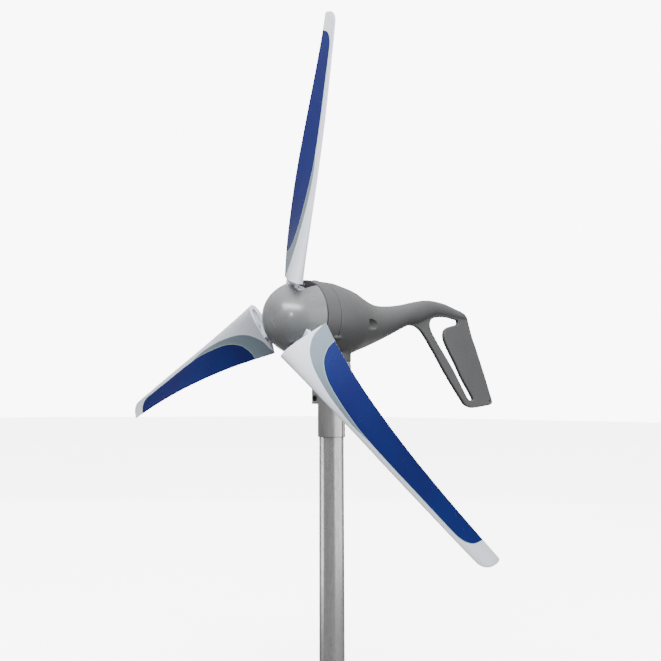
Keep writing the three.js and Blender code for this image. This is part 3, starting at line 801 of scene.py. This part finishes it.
def build_face():
    front, seam = FACE_Y
    ring = lathe([(0, front), (74.2, front), (75, front + 1.2), (BODY_R, seam), (0, seam)], "Y", 160)
    cut(ring, rod("Y", BODY_R - WALL, -75.5, seam + 1, 128))
    join(ring, rod("Y", 26, -78, -66, 96))
    for angle in SCREW_ANGLES:
        join(ring, screw_boss(-78, seam, angle), blister(angle, -70, seam))
    cut(ring, rod("Y", 20.4, front - 1, -67.2, 96), rod("Y", 15, -70, -65, 64))
    for angle in SCREW_ANGLES:
        cut(ring, screw_hole(2.9, front - 1, seam + 1, 24, angle), screw_hole(4.8, front - 1, -75, 32, angle))
    cast_skin(ring, 0.9, 4)
    groove = lathe([(74, seam - 1.2), (75.8, seam - 1.2), (75.8, seam + 1), (74, seam + 1)], "Y", 160)
    for angle in SCREW_ANGLES:
        cut(groove, spin(block(-4.7, 4.7, -60, -40, 60, 90), "Y", angle))
    cut(ring, groove)
    piece("face_ring", ring, "nacelle", ["face_casting"], NACELLE_PAINT, 0)


def build_face_screws():
    screw = cap_screw(4.3, 4.2, 2.5, 45.5)
    for k, angle in enumerate(SCREW_ANGLES):
        at = Matrix.Rotation(math.radians(angle), 4, "Y") @ Matrix.Translation((0, -79.5, SCREW_RADIUS))
        place_copy(screw, f"screw_face_{k + 1}", at, "nacelle", f"face_screw_{k + 1}")
    bpy.data.objects.remove(screw)


# ---- mast ----
def build_yoke():
    bottom, top = SLEEVE_Z
    collar = [(0, COLLAR_TOP), (38, COLLAR_TOP), (NECK_R, COLLAR_TOP - 1.5), (NECK_R, -99), (37, -103)]
    collar += [(SLEEVE_R + 1, top), (SLEEVE_R, -117), (SLEEVE_R, bottom), (0, bottom)]
    yoke = lathe(collar, "Z", 128)
    join(yoke, block(20, 41, -11, 11, -165, -120))
    cut(yoke, rod("Z", SLEEVE_BORE, bottom - 1, top, 128), rod("Z", 12.8, -120, -80, 64))
    cut(yoke, block(15, 50, -1.5, 1.5, bottom - 1, -119), block(-30, -20, -1, 1, bottom - 1, -119))
    for z in CLAMP_BOLT_Z:
        for tool in (rod("Y", 3.3, -20, 20, 32), rod("Y", 5.7, 5, 20, 48), rod("Y", 5.9, -20, -7.3, 6)):
            cut(yoke, shifted(tool, EAR_BOLT_X, 0, z))
    spin(yoke, "Z", EAR_AZ)
    cast_skin(yoke, 0.9, 4)
    piece("yaw_clamp", yoke, "mast", ["clamp_yoke"], BARE_CASTING, 0)


def build_clamp_fasteners():
    bolt = cap_screw(5, 4.2, 3, 22.3)
    nut = hex_nut(5.3, 4.4, 3.25)
    turn = Matrix.Rotation(math.radians(EAR_AZ), 4, "Z")
    # The bolts and nuts take the near-black steel as painted shade of the clamp slot.
    for k, z in enumerate(CLAMP_BOLT_Z):
        at = turn @ Matrix.Translation((EAR_BOLT_X, 9.5, z)) @ Matrix.Rotation(math.pi, 4, "Z")
        place_copy(bolt, f"screw_clamp_{k + 1}", at, "mast", f"clamp_bolt_{k + 1}", SHADE_DARK_STEEL)
        at = turn @ Matrix.Translation((EAR_BOLT_X, -12, z))
        place_copy(nut, f"nut_clamp_{k + 1}", at, "mast", f"clamp_nut_{k + 1}", SHADE_DARK_STEEL)
    bpy.data.objects.remove(bolt)
    bpy.data.objects.remove(nut)


def build_pole():
    c = 0.7
    foot = -SHAFT_HEIGHT
    profile = [(PIPE_BORE + c, foot), (PIPE_R - c, foot), (PIPE_R, foot + c)]
    profile += [(PIPE_R, z) for z in np.linspace(-690, -120, 40)]
    profile += [(PIPE_R, PIPE_TOP - c), (PIPE_R - c, PIPE_TOP), (PIPE_BORE + c, PIPE_TOP)]
    profile += [(PIPE_BORE, PIPE_TOP - c), (PIPE_BORE, foot + c)]
    piece("mast_tube", lathe(profile, "Z", 128), "mast", ["mast_pole"], PIPE)


def build_seal():
    bottom, top = SEAL_Z
    profile = [(12.8, bottom), (37.9, bottom), (38.6, bottom + 0.6)]
    profile += [(38.6, top - 0.6), (37.9, top), (12.8, top)]
    piece("seal_ring", lathe(profile, "Z", 128), "mast", ["yaw_seal"], SEAL)


# ---- finishes of the inner nodes that are kept as they are ----
def paint_inner_nodes():
    finishes = {"stator_core": IRON, "rotor_core": IRON, "magnet_ring": MAGNET, "brush_block": BLACK,
                "circuit_board": BOARD, "rectifier": BLACK, "ring_insulator": BLACK}
    for name, obj in frame["nodes"].items():
        if name.startswith("stator_coil"):
            finish = COPPER
        elif name.startswith("slip_ring"):
            finish = BRASS
        elif name.startswith("brush_") and name != "brush_block":
            finish = CARBON
        else:
            finish = finishes.get(name, BRIGHT_STEEL)
        obj.data.materials.clear()
        obj.data.materials.append(finish)


# ---- camera, light and floor, in metres in the row frame ----
SHAFT_Z = SHAFT_HEIGHT / 1000
CAMERA_TURN = math.radians(49.2)
CAMERA_TILT = math.radians(-8.39)
CAMERA_ROLL = math.radians(0.41)
CAMERA_SIDE = -0.1036
CAMERA_RISE = 0.058
CAMERA_DISTANCE = 1.559


def link(obj):
    bpy.context.scene.collection.objects.link(obj)
    return obj


def build_camera():
    camera = link(bpy.data.objects.new("camera", bpy.data.cameras.new("camera")))
    level = math.cos(CAMERA_TILT)
    back = Vector((math.sin(CAMERA_TURN) * level, -math.cos(CAMERA_TURN) * level, math.sin(CAMERA_TILT)))
    side = Vector((math.cos(CAMERA_TURN), math.sin(CAMERA_TURN), 0))
    top = back.cross(side)
    right = math.cos(CAMERA_ROLL) * side + math.sin(CAMERA_ROLL) * top
    up = -math.sin(CAMERA_ROLL) * side + math.cos(CAMERA_ROLL) * top
    place = Matrix((right, up, back)).transposed().to_4x4()
    place.translation = side * CAMERA_SIDE + Vector((0, 0, CAMERA_RISE + SHAFT_Z)) + back * CAMERA_DISTANCE
    camera.matrix_world = place
    camera.data.sensor_width = 36
    camera.data.lens = 41.991
    camera.data.shift_x = 0.0767
    camera.data.shift_y = -0.0577
    camera.data.clip_end = 200
    bpy.context.scene.camera = camera


def build_floor():
    """A pale floor that has a lamp of its own and casts no light on the turbine."""
    half, z = 30, -0.001
    floor = temp([(-half, -half, z), (half, -half, z), (half, half, z), (-half, half, z)], [(0, 1, 2, 3)])
    floor.name = "floor"
    paint = Paint("pale_floor")
    patches = paint.span(paint.noise(0.4, 2), 0.3, 0.7, 0.0, 1.0)
    paint.put("Base Color", paint.mix(patches, (0.86, 0.86, 0.86), (0.89, 0.89, 0.89)))
    paint.put("Roughness", 0.8)
    floor.data.materials.append(paint.mat)
    floor.visible_diffuse = False
    floor.visible_glossy = False
    glow = link(bpy.data.objects.new("floor_light", bpy.data.lights.new("floor_light", "SUN")))
    glow.data.energy = 20
    glow.data.angle = math.radians(60)
    light_only(glow, "floor_only", "floor")


def light_only(light, name, *starts):
    """Make a light reach only the objects whose names start like this."""
    group = bpy.data.collections.new(name)
    for obj in bpy.data.objects:
        if obj.type == "MESH" and obj.name.startswith(starts):
            group.objects.link(obj)
    light.light_linking.receiver_collection = group


def towards(azimuth, height, distance):
    """A point that far from the shaft. Azimuth 0 is in front, 90 is at +X."""
    turn, rise = math.radians(azimuth), math.radians(height)
    level = math.cos(rise) * distance
    return math.sin(turn) * level, -math.cos(turn) * level, math.sin(rise) * distance + SHAFT_Z


def area(name, at, aim, size, power):
    light = bpy.data.objects.new(name, bpy.data.lights.new(name, "AREA"))
    light.data.shape = "RECTANGLE"
    light.data.size, light.data.size_y = size
    light.data.energy = power
    light.location = at
    direction = Vector(aim) - Vector(at)
    light.rotation_euler = direction.to_track_quat("-Z", "Y").to_euler()
    return link(light)


def gleam(light, *starts):
    """Make a light show only as a reflection, on the pieces whose names start like this."""
    light.visible_diffuse = False
    light_only(light, light.name + "_only", *starts)


def build_lights():
    nose, middle = (0, -0.1, SHAFT_Z), (0, 0, 0.6)
    area("key", towards(24, 29, 3.0), nose, (3.5, 0.6), 24)
    gleam(area("glint", towards(24, 29, 3.0), nose, (3.5, 0.26), 290), "nose_shell")
    gleam(area("spark", towards(28, 4, 2.6), nose, (0.1, 0.1), 13), "nose_shell")
    overhead = area("overhead", towards(45, 62, 3.3), (0, 0.1, SHAFT_Z), (4.5, 3.5), 430)
    overhead.visible_glossy = False
    area("side", towards(103, 3, 3.0), middle, (3.2, 2.4), 52)
    gleam(area("edge", towards(143, 3, 3.0), middle, (1.7, 2.4), 29), "mast_tube", "yaw_clamp")
    area("back", towards(228, -8, 3.0), (0, 0, SHAFT_Z), (3.5, 1.6), 16)
    gleam(area("left", towards(-52, -14, 3.0), (0, 0, 0.4), (1.6, 0.9), 20), "mast_tube")


def build_world():
    """Brighter from above than from the side, and white where the camera sees it."""
    world = bpy.data.worlds.new("studio")
    bpy.context.scene.world = world
    world.use_nodes = True
    tree = world.node_tree
    shader = tree.nodes["Background"]
    ramp = tree.nodes.new("ShaderNodeValToRGB")
    coords = tree.nodes.new("ShaderNodeTexCoord")
    split = tree.nodes.new("ShaderNodeSeparateXYZ")
    shift = tree.nodes.new("ShaderNodeMapRange")
    shift.inputs["From Min"].default_value = -1.0
    tree.links.new(coords.outputs["Generated"], split.inputs[0])
    tree.links.new(split.outputs["Z"], shift.inputs["Value"])
    tree.links.new(shift.outputs[0], ramp.inputs[0])
    levels = ((0.0, 0.22), (0.42, 0.15), (0.55, 0.26), (0.8, 0.7), (1.0, 1.0))
    stops = ramp.color_ramp.elements
    for at, _ in levels[1:-1]:
        stops.new(at)
    for stop, (at, level) in zip(stops, levels):
        stop.position = at
        stop.color = (level, level, level, 1)
    path = tree.nodes.new("ShaderNodeLightPath")
    backdrop = tree.nodes.new("ShaderNodeBackground")
    backdrop.inputs[0].default_value = (1, 1, 1, 1)
    backdrop.inputs[1].default_value = 9.0
    choose = tree.nodes.new("ShaderNodeMixShader")
    tree.links.new(ramp.outputs[0], shader.inputs[0])
    shader.inputs[1].default_value = 1.5
    tree.links.new(path.outputs["Is Camera Ray"], choose.inputs[0])
    tree.links.new(shader.outputs[0], choose.inputs[1])
    tree.links.new(backdrop.outputs[0], choose.inputs[2])
    tree.links.new(choose.outputs[0], tree.nodes["World Output"].inputs[0])


build_blades()
build_nose()
build_hub()
build_blade_fasteners()
build_casting()
build_face()
build_face_screws()
build_yoke()
build_clamp_fasteners()
build_pole()
build_seal()
paint_inner_nodes()
build_camera()
build_floor()
build_lights()
build_world()
